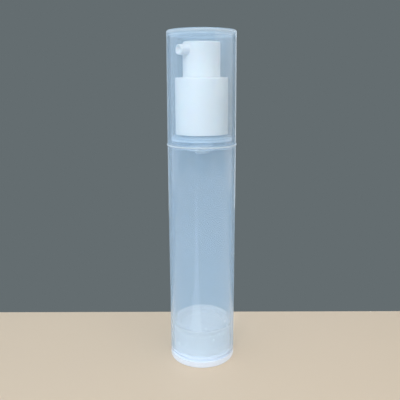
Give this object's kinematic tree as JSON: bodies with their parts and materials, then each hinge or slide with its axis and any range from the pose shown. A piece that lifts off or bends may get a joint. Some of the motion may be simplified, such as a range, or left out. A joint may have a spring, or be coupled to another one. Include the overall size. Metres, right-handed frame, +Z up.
{
  "type": "airless pump bottle",
  "caption": "Slim cylindrical airless dispenser in milky translucent plastic with a follower piston, a push pump with a side nozzle, and a pull-off overcap.",
  "frame": {"origin": "centre of the base's underside, on the surface that the bottle stands on", "axes": "+Z up along the bottle's axis, -Y the way the nozzle points, +X to the right of the nozzle"},
  "size_m": [0.0306, 0.0306, 0.1493],
  "materials": {
    "clear_pp": "milky translucent polypropylene, glossy moulded surface",
    "natural_pp": "natural polypropylene, semi-gloss",
    "natural_pe": "natural polyethylene, satin",
    "soft_pe": "soft polyethylene, matt",
    "white_pp": "white polypropylene, semi-gloss",
    "steel": "bright drawn stainless steel"
  },
  "bodies": {
    "bottle": {"bottle_barrel": "clear_pp", "base_plug": "natural_pp", "neck_gasket": "soft_pe", "pump_housing": "natural_pp", "ball_cage": "natural_pp", "guide_bush": "natural_pp", "snap_closure": "natural_pp", "collar_sleeve": "white_pp", "return_spring": "steel"},
    "overcap": {"overcap": "clear_pp"},
    "plunger": {"pump_stem": "natural_pp", "piston_rod": "natural_pp"},
    "push_head": {"actuator": "white_pp", "nozzle_insert": "white_pp"},
    "seal": {"piston_seal": "soft_pe"},
    "follower": {"follower_piston": "natural_pe"},
    "ball": {"inlet_ball": "steel"}
  },
  "joints": [
    {"name": "overcap_pull", "type": "slide", "parent": "bottle", "child": "overcap", "axis": [0, 0, 1], "range_m": [0, 0.05]},
    {"name": "head_press", "type": "slide", "parent": "bottle", "child": "plunger", "axis": [0, 0, -1], "range_m": [0, 0.0055], "stiffness_N_per_m": 1000, "springref_m": -0.006, "deforming": ["return_spring"]},
    {"name": "head_swivel", "type": "hinge", "parent": "plunger", "child": "push_head", "pos_m": [0, 0, 0.1236], "axis": [0, 0, 1], "continuous": true},
    {"name": "seal_float", "type": "slide", "parent": "plunger", "child": "seal", "axis": [0, 0, 1], "range_m": [0, 0.00055]},
    {"name": "follower_rise", "type": "slide", "parent": "bottle", "child": "follower", "axis": [0, 0, 1], "range_m": [0, 0.0815]},
    {"name": "inlet_ball_lift", "type": "slide", "parent": "bottle", "child": "ball", "axis": [0, 0, 1], "range_m": [0, 0.0008]}
  ]
}
